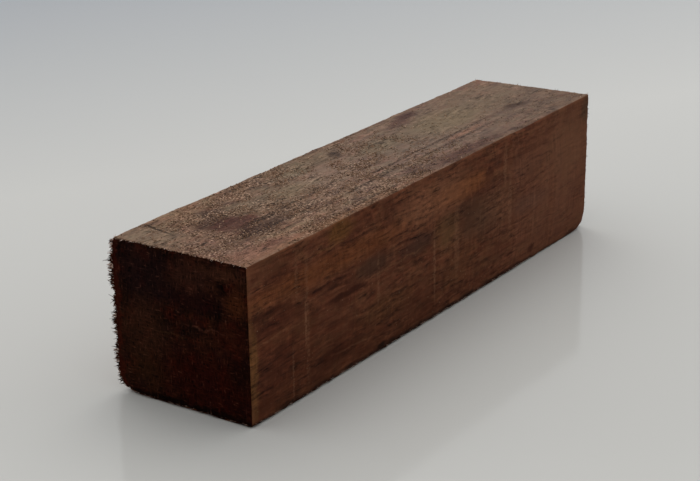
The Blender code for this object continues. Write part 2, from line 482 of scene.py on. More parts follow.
# Gaps between the fibres, which stay open and dark under the dust.
GRAIN_LINES = spots_on(
    Face.TOP,
    (
        (97, 22.8, 24, 0.46, 0.9, 0.4, "#37271F", 0.5),
        (99, 26.2, 23, 0.46, 0.85, 0.4, "#37271F", 0.5),
        (61, 26.3, 13, 0.54, 0.95, 0.4, "#33241C", 2.5),
        (70, 23.3, 6.5, 0.54, 0.95, 0.4, "#33241C"),
        (55, 23.9, 5, 0.44, 0.8, 0.4, "#37271F"),
        (35, 19.8, 19, 0.46, 0.85, 0.4, "#33241C"),
        (25, 20.6, 9, 0.44, 0.85, 0.4, "#33241C"),
        (28, 24.7, 14, 0.48, 0.9, 0.4, "#33241C"),
        (43, 27.2, 5.5, 0.46, 0.85, 0.4, "#37271F"),
        (71, 19.5, 5, 0.46, 0.85, 0.4, "#37271F"),
        (46, 33.3, 12, 0.48, 0.85, 0.4, "#3A261C"),
    ),
)

RIGHT_STAINS = spots_on(
    Face.RIGHT,
    (
        (30, 33, 50, 8, 0.4, 0.7, "#401E0C"),
        (10, 22, 16, 9, 0.3, 0.7, "#4A220F"),
        (30, 9, 32, 2.6, 0.5, 0.6, "#744122"),
        (86, 7.4, 12, 2.6, 0.6, 0.6, "#7E4A28"),
        (34, 2.4, 4.5, 2.4, 0.8, 0.6, "#6B4523"),
        (11, 4.8, 4, 2, 0.55, 0.6, "#492516"),
        (53.5, 3, 2.5, 3.2, 0.55, 0.6, "#4B2719"),
        (7, 12.6, 8, 0.9, 0.7, 0.5, "#3A1B0F"),
        (8, 15.5, 9, 2.2, 0.55, 0.6, "#442015"),
        (30, 13.6, 9, 0.7, 0.55, 0.5, "#3C1B10"),
        (36, 17.8, 8, 0.8, 0.8, 0.4, "#35160C"),
        (47, 14.8, 6.5, 2.4, 0.65, 0.6, "#402D22"),
        (66, 15.6, 7.5, 2.2, 0.65, 0.6, "#3F2A22"),
        (32, 30.5, 8, 1.8, 0.65, 0.5, "#3C1A0D"),
        (9, 26, 8, 4.5, 0.5, 0.6, "#421F15"),
        (52, 26, 10, 3, 0.35, 0.7, "#583C22"),
        (79, 16, 5, 4, 0.5, 0.7, "#6A4E31"),
        (90, 13.5, 9, 2.4, 0.65, 0.6, "#4B3122"),
        (92, 18.5, 8, 3.2, 0.55, 0.6, "#523828"),
        (84, 26, 8, 5, 0.4, 0.7, "#613D25"),
        (99.5, 6.8, 1.7, 1.5, 0.75, 0.5, "#462417"),
        (82, 4.4, 7, 0.6, 0.65, 0.5, "#432718"),
        (101, 17, 9, 5, 0.45, 0.7, "#5E4230"),
        (120, 20.5, 8, 2.2, 0.5, 0.7, "#533C33"),
        (118, 10, 9, 2.6, 0.4, 0.7, "#684534"),
        (132, 20, 24, 17, 0.45, 0.7, "#784E3A"),
        (142, 10, 12, 8, 0.4, 0.7, "#7C553D"),
        (121, 33.6, 1.5, 1.1, 0.65, 0.6, "#33120A"),
        (150.5, 3, 2, 3.4, 0.6, 0.6, "#483728"),
    ),
)

LEFT_STAINS = spots_on(
    Face.LEFT,
    (
        (40, 10, 34, 2.2, 0.55, 0.6, "#4A2818"),
        (64, 19, 30, 1.2, 0.65, 0.5, "#35170D"),
        (104, 14, 26, 3.6, 0.45, 0.7, "#865128"),
        (24, 27, 16, 3.2, 0.45, 0.7, "#7E4726"),
        (118, 27, 20, 2.4, 0.55, 0.6, "#40241A"),
        (76, 4, 18, 1.6, 0.45, 0.7, "#6E4D30"),
    ),
)

FOOT_STAINS = spots_on(
    Face.FOOT,
    (
        (50, 12, 36, 2, 0.55, 0.6, "#452517"),
        (98, 25, 30, 2.8, 0.45, 0.7, "#7E4927"),
        (30, 28, 18, 1.2, 0.6, 0.5, "#37190F"),
    ),
)

RIGHT_DETAILS = spots_on(
    Face.RIGHT,
    (
        (1, 24, 1.5, 11, 0.5, 0.6, "#74502C"),
        (73, 6.5, 15, 5, 0.5, 0.6, "#8C5C42"),
        # Painted shade: a near-black band along the foot and a dark spot at it stand in for the shadow under
        # the rounded, chipped foot arris.
        (70, 36.5, 84, 1.1, 0.95, 0.45, "#150B07"),
        (50.5, 35.3, 1.3, 0.8, 0.8, 0.5, "#180C07"),
        (39.5, 31.3, 9, 0.3, 0.28, 0.6, "#7A5038", 5),
        (29, 5, 5.8, 0.28, 0.5, 0.5, "#8A5A38"),
        (58, 17, 14, 0.26, 0.32, 0.5, "#80553A"),
        (10, 18.5, 7, 0.3, 0.3, 0.6, "#7C5238"),
        (25, 13.3, 2.4, 0.4, 0.7, 0.5, "#2E140C"),
        (31, 14.7, 3.2, 0.4, 0.7, 0.5, "#2E140C"),
    ),
)

SIDE_STAINS = RIGHT_STAINS + LEFT_STAINS + FOOT_STAINS + RIGHT_DETAILS

END_STAINS = spots_on(
    Face.NEAR,
    (
        (8, 7.5, 7.5, 6.5, 0.7, 0.6, "#1C0F10"),
        (20.5, 5.5, 5.5, 3.6, 0.55, 0.6, "#3A2018"),
        (29.5, 3, 5.5, 1.6, 0.6, 0.6, "#4A2A1C"),
        (32.6, 9.4, 3, 2.6, 0.65, 0.6, "#4C2613"),
        (22, 10.6, 7, 2.2, 0.65, 0.6, "#1D090A"),
        (7, 20.5, 6.5, 7, 0.6, 0.6, "#3C2216"),
        (8, 30, 4.5, 4, 0.5, 0.6, "#382010"),
        (31, 17.5, 4.5, 3.4, 0.45, 0.6, "#3C150B"),
        (19.5, 17.5, 2.6, 1.8, 0.35, 0.6, "#100705"),
        (25, 29, 12, 7, 0.6, 0.6, "#310B05"),
        (33, 25, 2.4, 3.4, 0.7, 0.5, "#160604"),
        # Painted shade: a near-black band along the foot stands in for the shadow under the rounded foot
        # arris.
        (18, 36, 20, 1.3, 0.85, 0.5, "#0C0503"),
        (24, 16.4, 6, 0.24, 0.2, 0.6, "#6E4234"),
        (14.5, 19.6, 5, 0.24, 0.16, 0.6, "#62422A"),
    ),
)

# Where handling or the saw left the top bare of dust; the painted pit shade and highlight are left out there
# too.
BARE_SPOTS = spots_on(
    Face.TOP,
    (
        (20.5, 17.2, 7, 3.7, 0.88, 0.5),
        (24, 23.4, 4.5, 1.8, 0.8, 0.4),
        (18, 12.5, 4, 2, 0.45, 0.5),
        (3, 9, 7, 9, 0.8, 0.4),
        (16, 1, 18, 1.8, 0.6, 0.6),
        (68, 4.5, 9, 4, 0.85, 0.4),
        (46, 14.5, 8, 3.6, 0.7, 0.5),
        (8, 32.6, 11, 3.8, 0.8, 0.5),
        (60, 16, 5, 3, 0.5, 0.5),
    ),
)

# Pale lines that the saw's teeth scored down the right side: place along, top, bottom, half width and cover.
SCORED = (
    (20.7, 3, 33, 0.65, 0.28),
    (20, 14, 24, 0.35, 0.52),
    (15.2, 23.5, 35.5, 0.28, 0.4),
    (17, 2, 13, 0.5, 0.3),
    (48.8, 12, 25, 0.55, 0.4),
    (73.3, 13, 30.5, 0.4, 0.6),
    (65.5, 5, 11, 0.9, 0.35),
    (83.5, 10, 28, 1.1, 0.35),
    (107.2, 2, 12, 0.8, 0.5),
    (109.8, 11, 25, 0.8, 0.5),
    (129.5, 10, 24, 0.9, 0.25),
    (140, 16, 30, 1.2, 0.2),
)
SAW_MARKS = spots_on(
    Face.RIGHT,
    (
        (along, (top + bottom) / 2, half_width, (bottom - top) / 2, cover, 0.6, "#8E6349")
        for along, top, bottom, half_width, cover in SCORED
    ),
)


@dataclass
class Drawing:
    """The nodes that draw a material or the world, and the point that they are read at."""

    holder: Union[bpy.types.Material, bpy.types.World]
    coordinates: str = "Object"

    def __post_init__(self) -> None:
        """Clear the holder's nodes, and add the point."""
        self.holder.use_nodes = True
        self.holder.node_tree.nodes.clear()
        self.place = self.add("TexCoord", {}, self.coordinates)

    def add(
        self,
        kind: str,
        inputs: dict[Union[str, int], SocketValue],
        output: Union[str, int] = 0,
        **settings: object,
    ) -> Optional[Socket]:
        """Add a node with its settings, and set or link its inputs.

        Args:
            kind: The node's type, without the "ShaderNode" that it starts with.
            inputs: A value or another node's output for each input, by name or place.
            output: Which of its outputs is wanted, by name or place.
            **settings: The node's own properties.

        Returns:
            That output, or None from a node that has no outputs.
        """
        tree = self.holder.node_tree
        node = tree.nodes.new("ShaderNode" + kind)
        for name, value in settings.items():
            setattr(node, name, value)
        for name, value in inputs.items():
            if isinstance(value, Socket):
                tree.links.new(value, node.inputs[name])
            else:
                node.inputs[name].default_value = value
        return node.outputs[output] if len(node.outputs) else None

    def shown(self, pattern: Socket, levels: Levels, share: Optional[Socket] = None) -> Socket:
        """Draw how strongly something shows.

        Args:
            pattern: The pattern that it follows.
            levels: The pattern's heights between which it comes up.
            share: What its strength is multiplied by, if anything.

        Returns:
            The strength.
        """
        settings = {"Value": pattern, "From Min": levels.start, "From Max": levels.full}
        settings |= {"To Min": levels.least, "To Max": levels.most}
        kind = "SMOOTHSTEP" if levels.soft else "LINEAR"
        cover = self.add("MapRange", settings, interpolation_type=kind)
        if share is None:
            return cover
        return self.add("Math", {0: cover, 1: share}, operation="MULTIPLY")

    def tinted(
        self, colour: SocketValue, hue: str, pattern: Socket, levels: Levels, share: Optional[Socket] = None
    ) -> Socket:
        """Lay another hue over a colour where a pattern shows it.

        Args:
            colour: The colour.
            hue: The hue that is laid over it.
            pattern: The pattern.
            levels: The pattern's heights between which the hue comes up.
            share: What its strength is multiplied by, if anything.

        Returns:
            The tinted colour.
        """
        cover = self.shown(pattern, levels, share)
        return self.add("Mix", {0: cover, 6: colour, 7: linear(hue)}, 2, data_type="RGBA")


@dataclass
class WoodDrawing(Drawing):
    """A drawing on the sawn block, with the patterns and stains that its finishes share."""

    blank: Blank = Blank()

    def cloud(self, cloud: Cloud, place: Optional[Socket] = None) -> Socket:
        """Add a cloudy pattern.

        Args:
            cloud: The pattern's sizes.
            place: The point that it is read at, where that isn't the point on the wood.

        Returns:
            Its height, from 0 to 1. Its node also gives three such heights, as a colour.
        """
        shrink = [1 / (side * MM) for side in (cloud.along, cloud.across, cloud.up)]
        shrunk = self.add("Mapping", {"Vector": place or self.place, "Scale": shrink})
        settings = {"Vector": shrunk, "Scale": 1.0, "Detail": cloud.detail, "Roughness": cloud.roughness}
        return self.add("TexNoise", settings)

    def wavering(self, wander: Wander) -> Socket:
        """Push the point on the wood about by noise, so that what is drawn at it wanders.

        Args:
            wander: How often and how far.

        Returns:
            The moved point.
        """
        settings = {"Vector": self.place, "Scale": 1 / (wander.length * MM)}
        settings |= {"Detail": wander.detail, "Roughness": wander.roughness}
        centred = {0: self.add("TexNoise", settings, "Color"), 1: (0.5, 0.5, 0.5)}
        centred = self.add("VectorMath", centred, operation="SUBTRACT")
        parts = {0: centred, 1: [side * MM for side in wander.reach], 2: self.place}
        return self.add("VectorMath", parts, operation="MULTIPLY_ADD")

    def reach(self, place: Socket, spot: Spot) -> Socket:
        """Measure how far a point is from the middle of a spot.

        Args:
            place: The point.
            spot: The spot.

        Returns:
            The distance, which is 1 at the spot's rim.
        """
        middle, size = spot.box(self.blank)
        turn = [0.0, 0.0, 0.0]
        turn[spot.face.value[0]] = math.radians(spot.turn)
        settings = {"Vector": place, "Location": middle, "Rotation": turn, "Scale": size}
        local = self.add("Mapping", settings, vector_type="TEXTURE")
        return self.add("VectorMath", {0: local}, "Value", operation="LENGTH")

    def stained(
        self, place: Socket, colour: Socket, stains: tuple[Spot, ...], share: Optional[Socket] = None
    ) -> Socket:
        """Lay stains over a colour, one after another.

        Args:
            place: The point that the stains are read at.
            colour: The colour under them.
            stains: The stains.
            share: What each one's cover is multiplied by, if anything.

        Returns:
            The stained colour.
        """
        for stain in stains:
            colour = self.tinted(colour, stain.colour, self.reach(place, stain), stain.levels, share)
        return colour

    def fading(self, cloud: Cloud, levels: Levels, run: Pair, far_share: float) -> Socket:
        """Draw a strength that comes in patches and fades towards the far end.

        Args:
            cloud: The patches.
            levels: The heights of the patches between which it comes up.
            run: Where it starts and ends fading, in millimetres from the near end.
            far_share: How much of it is left beyond.

        Returns:
            The strength.
        """
        patch = self.shown(self.cloud(cloud), levels)
        along = self.add("SeparateXYZ", {0: self.place})
        start, end = (place * MM - self.blank.length / 2 for place in run)
        return self.shown(along, Levels(end, start, least=far_share, soft=True), patch)


@dataclass(frozen=True, kw_only=True)
class Snakewood:
    """Snakewood that no plane has touched: dry, matt, open-pored, in patches of several browns and reds."""

    name: str
    dark: str
    light: str
    relief: float
    roughness: float = 0.80
    ior: float = 1.5
    gloss: float = 0.06

    def material(self, blank: Blank) -> bpy.types.Material:
        """Make the finish a material that reads Object coordinates.

        Args:
            blank: The block's sizes, which place the stains.

        Returns:
            The new material.
        """
        material = bpy.data.materials.new(self.name)
        wood = WoodDrawing(material, blank=blank)
        colour, height = self.drawn(wood)
        settings = {
            "Base Color": colour,
            "Roughness": self.roughness,
            "IOR": self.ior,
            "Specular IOR Level": self.gloss,
            "Normal": wood.add("Bump", {"Distance": self.relief, "Height": height}),
        }
        wood.add("OutputMaterial", {"Surface": wood.add("BsdfPrincipled", settings)})
        return material

    def drawn(self, wood: WoodDrawing) -> tuple[Socket, Socket]:
        """Draw the finish's own pattern.

        Args:
            wood: The drawing.

        Returns:
            The colour and the height of the surface.
        """
        raise NotImplementedError


@dataclass(frozen=True, kw_only=True)
class SawnWood(Snakewood):
    """Snakewood cut along the grain by a coarse saw, which tears it, so it is duller than when planed.

    Its vessels show as short dark strokes and its growth as longer streaks, both drawn out along the grain.
    Real vessels are 0.1 to 0.2 mm wide, too fine to show, so the strokes are drawn half a millimetre wide.
    """

    hues: tuple[str, str, str]
    hue_cover: float
    stains: tuple[Spot, ...]
    wear_colour: str
    grain: Cloud
    stroke: Cloud
    wander: Wander
    pore_colour: str
    pore_levels: Levels
    spread: float
    stroke_contrast: float
    mottle_contrast: float
    calm_run: Pair
    calm_share: float
    figure: Cloud = Cloud(7.0, 2.6, 2.6, 4.0)
    mottle: Cloud = Cloud(2.2, 1.1, 1.1, 4.0)
    grit: Cloud = Cloud(0.75, 0.60, 0.60, 3.0)
    torn: Cloud = Cloud(8.0, 5.0, 5.0, 2.0)
    torn_levels: Levels = Levels(0.35, 0.62, least=0.25)
    ragged: Wander = Wander(3.2, (5.0, 1.6, 1.6))
    # Which of the figure's three patterns each hue follows, and between which heights.
    hue_levels: tuple[tuple[int, float, float], ...] = ((1, 0.49, 0.64), (2, 0.49, 0.64), (0, 0.51, 0.36))
    stroke_share: float = 0.4
    figure_share: float = 0.6
    streak_height: float = 0.5
    pore_depth: float = 0.8

    def drawn(self, wood: WoodDrawing) -> tuple[Socket, Socket]:
        """Draw the streaks, hues, stains, pores and worn arrises of the wood.

        Args:
            wood: The drawing.

        Returns:
            The colour and the height of the surface.
        """
        waved = wood.wavering(self.wander)
        streak = wood.cloud(self.grain, waved)
        stroke = wood.cloud(self.stroke, waved)
        grit = wood.cloud(self.grit)
        # How deeply the saw tore the wood: in patches, and less towards the far end.
        depth = wood.fading(self.torn, self.torn_levels, self.calm_run, self.calm_share)
        colour = self.figured(wood, waved, streak, stroke)
        colour = wood.stained(wood.wavering(self.ragged), colour, self.stains)
        pores = wood.shown(stroke, self.pore_levels, depth)
        colour = wood.add("Mix", {0: pores, 6: colour, 7: linear(self.pore_colour)}, 2, data_type="RGBA")
        low = wood.add("Math", {0: 0.5, 1: stroke}, operation="SUBTRACT")
        low = wood.add("Math", {0: low, 1: depth}, operation="MULTIPLY")
        bright = wood.add("Math", {0: low, 1: self.stroke_contrast, 2: 1.0}, operation="MULTIPLY_ADD")
        mottle = wood.add("Math", {0: wood.cloud(self.mottle), 1: 0.5}, operation="SUBTRACT")
        mottle = wood.add("Math", {0: mottle, 1: depth}, operation="MULTIPLY")
        bright = wood.add("Math", {0: mottle, 1: self.mottle_contrast, 2: bright}, operation="MULTIPLY_ADD")
        colour = wood.add("VectorMath", {0: colour, "Scale": bright}, operation="SCALE")
        colour = self.surfaced(wood, colour, grit)
        wear = wood.add("Attribute", {}, "Fac", attribute_name="arris_wear")
        colour = wood.add("Mix", {0: wear, 6: colour, 7: linear(self.wear_colour)}, 2, data_type="RGBA")
        height = wood.add("Math", {0: streak, 1: self.streak_height, 2: grit}, operation="MULTIPLY_ADD")
        height = wood.add("Math", {0: pores, 1: -self.pore_depth, 2: height}, operation="MULTIPLY_ADD")
        return colour, wood.add("Math", {0: height, 1: depth}, operation="MULTIPLY")

    def figured(self, wood: WoodDrawing, waved: Socket, streak: Socket, stroke: Socket) -> Socket:
        """Colour the bare wood: dark to light with its streaks, and tinted in patches with its other hues.

        Args:
            wood: The drawing.
            waved: The point on the wood, wandering as the grain does.
            streak: The height of the long streaks.
            stroke: The height of the short strokes.

        Returns:
            The colour.
        """
        parts = wood.cloud(self.figure, waved).node.outputs["Color"]
        parts = wood.add("SeparateXYZ", {0: parts}).node.outputs
        share = wood.add("Math", {0: stroke, 1: self.stroke_share, 2: streak}, operation="MULTIPLY_ADD")
        share = wood.add("Math", {0: parts[0], 1: self.figure_share, 2: share}, operation="MULTIPLY_ADD")
        colour = wood.tinted(linear(self.dark), self.light, share, Levels(1 - self.spread, 1 + self.spread))
        for hue, (part, start, full) in zip(self.hues, self.hue_levels):
            colour = wood.tinted(colour, hue, parts[part], Levels(start, full, self.hue_cover, soft=True))
        return colour

    def surfaced(self, wood: WoodDrawing, colour: Socket, grit: Socket) -> Socket:
        """Draw what lies on the surface of this cut.

        Args:
            wood: The drawing.
            colour: The wood's colour.
            grit: The height of the torn surface, from 0 to 1.

        Returns:
            The colour of the surface.
        """
        raise NotImplementedError


@dataclass(frozen=True, kw_only=True)
class DustyTop(SawnWood):
    """Snakewood resawn and left lying face up: pale dust clings to its torn high spots.

    That gives a greyer brown than the sides, speckled at the near end, where the dust lies, with a painted
    highlight on the high spots and painted shade in the pits, and smoother beyond. The finest grains are
    0.1 mm, too fine to show, so the specks are drawn half a millimetre wide.
    """

    name: str = "resawn_dusty_snakewood"
    dark: str = "#4E352A"
    light: str = "#9D7B62"
    hues: tuple[str, str, str] = ("#845344", "#75654E", "#5B423A")
    hue_cover: float = 0.5
    stains: tuple[Spot, ...] = TOP_STAINS
    wear_colour: str = "#9A7B66"
    grain: Cloud = Cloud(22.0, 0.9, 0.9, 6.0)
    stroke: Cloud = Cloud(3.8, 0.52, 0.52, 3.0)
    wander: Wander = Wander(11.0, (0.0, 4.0, 4.0))
    pore_colour: str = "#2E1F18"
    pore_levels: Levels = Levels(0.58, 0.68, 0.55)
    spread: float = 0.30
    stroke_contrast: float = 2.4
    mottle_contrast: float = 2.9
    calm_run: Pair = (84.0, 112.0)
    calm_share: float = 0.66
    relief: float = 0.50 * MM
    # Real dust with a painted highlight: this pale colour on the high spots also stands in for light catching
    # the torn fuzz.
    dust_and_highlight_colour: str = "#C8A48A"
    dust_and_highlight_levels: Levels = Levels(0.840, 0.935, 0.74)
    dust_and_shade_grain: Cloud = Cloud(0.52, 0.48, 0.48, 3.0)
    grit_share: float = 0.6
    # Painted shade: the dark colour laid in the low spots stands in for the shade in the torn surface's
    # hollows.
    painted_pit_shade_colour: str = "#36231A"
    painted_pit_shade_levels: Levels = Levels(0.780, 0.680, 0.90)
    patch: Cloud = Cloud(7.0, 5.0, 5.0, 4.0)
    patch_levels: Levels = Levels(0.45, 0.56, least=0.08)
    clean_run: Pair = (32.0, 104.0)
    clean_share: float = 0.10
    bare: tuple[Spot, ...] = BARE_SPOTS
    bare_edge: Wander = Wander(3.2, (4.0, 4.0, 0.0))
    lines: tuple[Spot, ...] = GRAIN_LINES
    line_levels: Levels = Levels(0.66, 0.40)
    line_wander: Wander = Wander(2.6, (0.9, 0.9, 0.0))
    crack: Spot = Spot(Face.TOP, 8.4, 5.0, 0.42, 5.6, 0.80, 0.5, "#22150F", -13.0)

    def surfaced(self, wood: WoodDrawing, colour: Socket, grit: Socket) -> Socket:
        """Lay dust and painted highlight on high spots, painted shade in pits, less to the far end, then draw
        the gaps.

        Args:
            wood: The drawing.
            colour: The wood's colour.
            grit: The height of the torn surface, from 0 to 1.

        Returns:
            The colour of the dusty top.
        """
        dust_and_shade_cover = wood.fading(self.patch, self.patch_levels, self.clean_run, self.clean_share)
        edge = wood.wavering(self.bare_edge)
        for spot in self.bare:
            bared = wood.shown(wood.reach(edge, spot), spot.levels)
            left = wood.add("Math", {0: 1.0, 1: bared}, operation="SUBTRACT")
            dust_and_shade_cover = wood.add("Math", {0: dust_and_shade_cover, 1: left}, operation="MULTIPLY")
        grains = wood.cloud(self.dust_and_shade_grain)
        high = wood.add("Math", {0: grit, 1: self.grit_share, 2: grains}, operation="MULTIPLY_ADD")
        # Painted shade in the pits, then dust with a painted highlight on the high spots.
        colour = wood.tinted(colour, self.painted_pit_shade_colour, high, self.painted_pit_shade_levels, dust_and_shade_cover)
        colour = wood.tinted(colour, self.dust_and_highlight_colour, high, self.dust_and_highlight_levels, dust_and_shade_cover)
        broken = wood.shown(grit, self.line_levels)
        crooked = wood.wavering(self.line_wander)
        colour = wood.stained(crooked, colour, self.lines, broken)
        return wood.stained(crooked, colour, (self.crack,))


@dataclass(frozen=True, kw_only=True)
class ScoredSide(SawnWood):
    """Snakewood ripped along the grain and left as the saw left it, with no dust on it.

    That gives the block's warmest red-brown, in soft bands and dark strokes, scored across by the teeth.
    The scored lines are 0.2 to 0.4 mm apart, too fine to show, so they are drawn a millimetre apart.
    """

    name: str = "ripsawn_snakewood"
    dark: str = "#3B160A"
    light: str = "#7A4B34"
    hues: tuple[str, str, str] = ("#733B27", "#64472E", "#46271D")
    hue_cover: float = 0.22
    stains: tuple[Spot, ...] = SIDE_STAINS
    wear_colour: str = "#8A5B40"
    grain: Cloud = Cloud(16.0, 1.0, 1.0, 6.0)
    stroke: Cloud = Cloud(11.0, 0.60, 0.60, 3.0)
    wander: Wander = Wander(20.0, (0.0, 4.0, 4.0))
    pore_colour: str = "#240D06"
    pore_levels: Levels = Levels(0.57, 0.67, 0.45)
    spread: float = 0.40
    stroke_contrast: float = 2.5
    mottle_contrast: float = 2.3
    calm_run: Pair = (100.0, 138.0)
    calm_share: float = 0.42
    relief: float = 0.14 * MM
    marks: tuple[Spot, ...] = SAW_MARKS
    mark_levels: Levels = Levels(0.38, 0.60)
    mark_wander: Wander = Wander(1.2, (1.2, 0.0, 0.0))
    speck_colour: str = "#A9876A"
    speck: Cloud = Cloud(0.40, 0.40, 0.40, 1.0)
    speck_levels: Levels = Levels(0.735, 0.79, 0.6)
    score_pitch: float = 1.1 * MM
    score_depth: float = 1.1
    score_patch: Cloud = Cloud(6.0, 6.0, 6.0, 3.0)
    score_levels: Levels = Levels(0.42, 0.66)
    score_detail: float = 4.0
    score_roughness: float = 0.7
    curve: float = 9.0

    def surfaced(self, wood: WoodDrawing, colour: Socket, grit: Socket) -> Socket:
        """Score the side with faint lines and with the marks that stand out, and strew a few pale specks.

        Args:
            wood: The drawing.
            colour: The wood's colour.
            grit: The height of the torn surface, from 0 to 1.

        Returns:
            The colour of the scored side.
        """
        parts = wood.add("SeparateXYZ", {0: wood.place}).node.outputs
        height = wood.add("Math", {0: parts["Z"], 1: wood.blank.height / 2}, operation="SUBTRACT")
        bow = wood.add("Math", {0: height, 1: height}, operation="MULTIPLY")
        bowed = wood.add("Math", {0: bow, 1: self.curve, 2: parts["X"]}, operation="MULTIPLY_ADD")
        pitch = wood.add("Math", {0: bowed, 1: self.score_pitch}, operation="DIVIDE")
        settings = {"W": pitch, "Scale": 1.0, "Detail": self.score_detail, "Roughness": self.score_roughness}
        lines = wood.add("TexNoise", settings, noise_dimensions="1D")
        patch = wood.shown(wood.cloud(self.score_patch), self.score_levels)
        score = wood.add("Math", {0: lines, 1: 0.5}, operation="SUBTRACT")
        score = wood.add("Math", {0: score, 1: patch}, operation="MULTIPLY")
        bright = wood.add("Math", {0: score, 1: self.score_depth, 2: 1.0}, operation="MULTIPLY_ADD")
        colour = wood.add("VectorMath", {0: colour, "Scale": bright}, operation="SCALE")
        broken = wood.shown(grit, self.mark_levels)
        colour = wood.stained(wood.wavering(self.mark_wander), colour, self.marks, broken)
        return wood.tinted(colour, self.speck_colour, wood.cloud(self.speck), self.speck_levels)


@dataclass(frozen=True, kw_only=True)
class EndGrain(Snakewood):
    """Snakewood cut across the grain, whose open vessels drink the light.

    That gives a face far darker than the sides, in deep red and purple-brown, with fuzz and pale flecks.
    """

    name: str = "crosscut_end_grain"
    dark: str = "#130603"
    light: str = "#3A1D12"
    light_levels: Levels = Levels(1.10, 1.80)
    hues: tuple[str, str, str] = ("#45150A", "#220F0F", "#3B1D11")
    hue_levels: Levels = Levels(0.50, 0.66, 0.55)
    stains: tuple[Spot, ...] = END_STAINS
    ragged: Wander = Wander(3.2, (0.0, 3.0, 3.0))
    roughness: float = 0.85
    gloss: float = 0.02
    relief: float = 0.30 * MM
    broad: Cloud = Cloud(7.0, 7.0, 7.0, 5.0)
    broad_share: float = 1.5
    patch: Cloud = Cloud(4.0, 4.0, 4.0, 4.0)
    level_fuzz: Cloud = Cloud(1.0, 1.8, 0.44, 3.0)
    upright_fuzz: Cloud = Cloud(1.0, 0.44, 1.6, 3.0)
    fuzz_contrast: float = 2.6
    fuzz_middle: float = 0.56
    edge_colour: str = "#44150A"
    edge_band: Pair = (1.56 * MM, 0.60 * MM)
    edge_wander: float = 6.0 * MM
    edge_cover: float = 0.48
    gap_colour: str = "#060302"
    gap_levels: Levels = Levels(0.47, 0.36, 0.80)
    fleck_colour: str = "#704838"
    fleck_levels: Levels = Levels(0.63, 0.76, 0.40)

    def drawn(self, wood: WoodDrawing) -> tuple[Socket, Socket]:
        """Draw the broad patches, stains, fuzz, gaps and flecks, and the red band along the frayed arris.

        Args:
            wood: The drawing.

        Returns:
            The colour and the height of the surface.
        """
        fuzz = {0: wood.cloud(self.level_fuzz), 1: wood.cloud(self.upright_fuzz)}
        fuzz = wood.add("Math", fuzz, operation="MAXIMUM")
        share = {0: wood.cloud(self.broad), 1: self.broad_share, 2: fuzz}
        share = wood.add("Math", share, operation="MULTIPLY_ADD")
        colour = wood.tinted(linear(self.dark), self.light, share, self.light_levels)
        patch = wood.cloud(self.patch)
        parts = wood.add("SeparateXYZ", {0: patch.node.outputs["Color"]}).node.outputs
        for hue, part in zip(self.hues, parts):
            colour = wood.tinted(colour, hue, part, self.hue_levels)
        colour = wood.stained(wood.wavering(self.ragged), colour, self.stains)
        bright = {0: fuzz, 1: self.fuzz_contrast, 2: 1 - self.fuzz_middle * self.fuzz_contrast}
        bright = wood.add("Math", bright, operation="MULTIPLY_ADD")
        colour = wood.add("VectorMath", {0: colour, "Scale": bright}, operation="SCALE")
        across = wood.add("SeparateXYZ", {0: wood.place}, "Y")
        uneven = wood.add("Math", {0: patch, 1: self.edge_wander, 2: across}, operation="MULTIPLY_ADD")
        arris = wood.blank.near_width / 2 + self.edge_wander / 2
        inner, outer = (arris - inset for inset in self.edge_band)
        levels = Levels(inner, outer, self.edge_cover, soft=True)
        colour = wood.tinted(colour, self.edge_colour, uneven, levels)
        colour = wood.tinted(colour, self.gap_colour, fuzz, self.gap_levels)
        return wood.tinted(colour, self.fleck_colour, fuzz, self.fleck_levels), fuzz


@dataclass(frozen=True, kw_only=True)
class ShredFinish(Snakewood):
    """Torn shreds of snakewood, each with a tone of its own, from dark to pale; the palest torn fibres are a
    painted highlight.
    """

    pale: str
    pale_share: float
    pale_fade: float = 0.02
    mottle: Cloud = Cloud(0.25, 0.25, 0.25, 2.0)
    mottle_share: float = 0.3
    roughness: float = 0.85
    relief: float = 0.03 * MM

    def drawn(self, wood: WoodDrawing) -> tuple[Socket, Socket]:
        """Shade each shred, with a faint mottle.

        Args:
            wood: The drawing.

        Returns:
            The colour and the height of the surface.
        """
        shade = wood.add("Attribute", {}, "Fac", attribute_name="shade")
        mottle = wood.cloud(self.mottle)
        uneven = {0: mottle, 1: self.mottle_share, 2: -self.mottle_share / 2}
        uneven = wood.add("Math", uneven, operation="MULTIPLY_ADD")
        share = wood.add("Math", {0: uneven, 1: shade}, operation="ADD", use_clamp=True)
        colour = {0: share, 6: linear(self.dark), 7: linear(self.light)}
        colour = wood.add("Mix", colour, 2, data_type="RGBA")
        least = 1 - self.pale_share
        levels = Levels(least - self.pale_fade, least + self.pale_fade)
        return wood.tinted(colour, self.pale, shade, levels), mottle


@dataclass(frozen=True, kw_only=True)
class TornFibreFinish(ShredFinish):
    """Fibres that the saw pulled out of the arrises, dark at heart, the palest painted pinkish as a
    highlight.
    """

    name: str = "torn_snakewood_fibre"
    dark: str = "#1E0D07"
    light: str = "#5A2E1B"
    # Painted highlight: the palest fibres get this colour, standing in for the backlight that catches them.
    pale: str = "#BFA496"
    pale_share: float = 0.29


@dataclass(frozen=True, kw_only=True)
class SawdustFinish(ShredFinish):
    """Grains that the saw broke off, paler than the wood, with dark ones from its figure among them."""

    name: str = "snakewood_sawdust"
    dark: str = "#2C1C14"
    light: str = "#9C785F"
    pale: str = "#BE9E83"
    pale_share: float = 0.08


